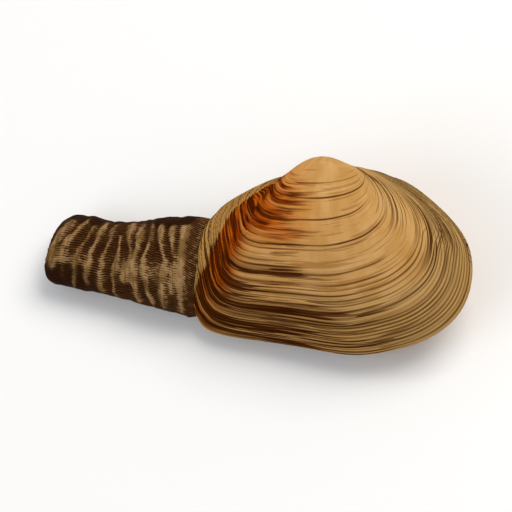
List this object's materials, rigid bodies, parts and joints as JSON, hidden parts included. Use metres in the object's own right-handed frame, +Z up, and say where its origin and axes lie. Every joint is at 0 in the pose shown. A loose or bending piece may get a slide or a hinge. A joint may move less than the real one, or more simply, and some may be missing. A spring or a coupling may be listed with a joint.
{
  "type": "gaper clam shell with siphon",
  "caption": "Gaping clam shell of two rounded valves with growth lines and a thick wrinkled siphon out of its hind end, lying on its right valve.",
  "frame": {"origin": "centre of the object's footprint, on the surface it lies on", "axes": "+Z up, +X towards the shell's front end, +Y towards its hinge; the siphon points along -X"},
  "size_m": [0.1168, 0.0472, 0.0355],
  "materials": {
    "shell": "tan-gold shell with thin dark growth lines, rust-brown staining behind the umbo and a satin sheen",
    "ligament": "dark brown horny pad",
    "siphon": "khaki-brown wrinkled skin with dark brown folds"
  },
  "bodies": {
    "root": {"left_valve": "shell", "right_valve": "shell", "ligament": "ligament", "siphon": "siphon"}
  },
  "joints": []
}
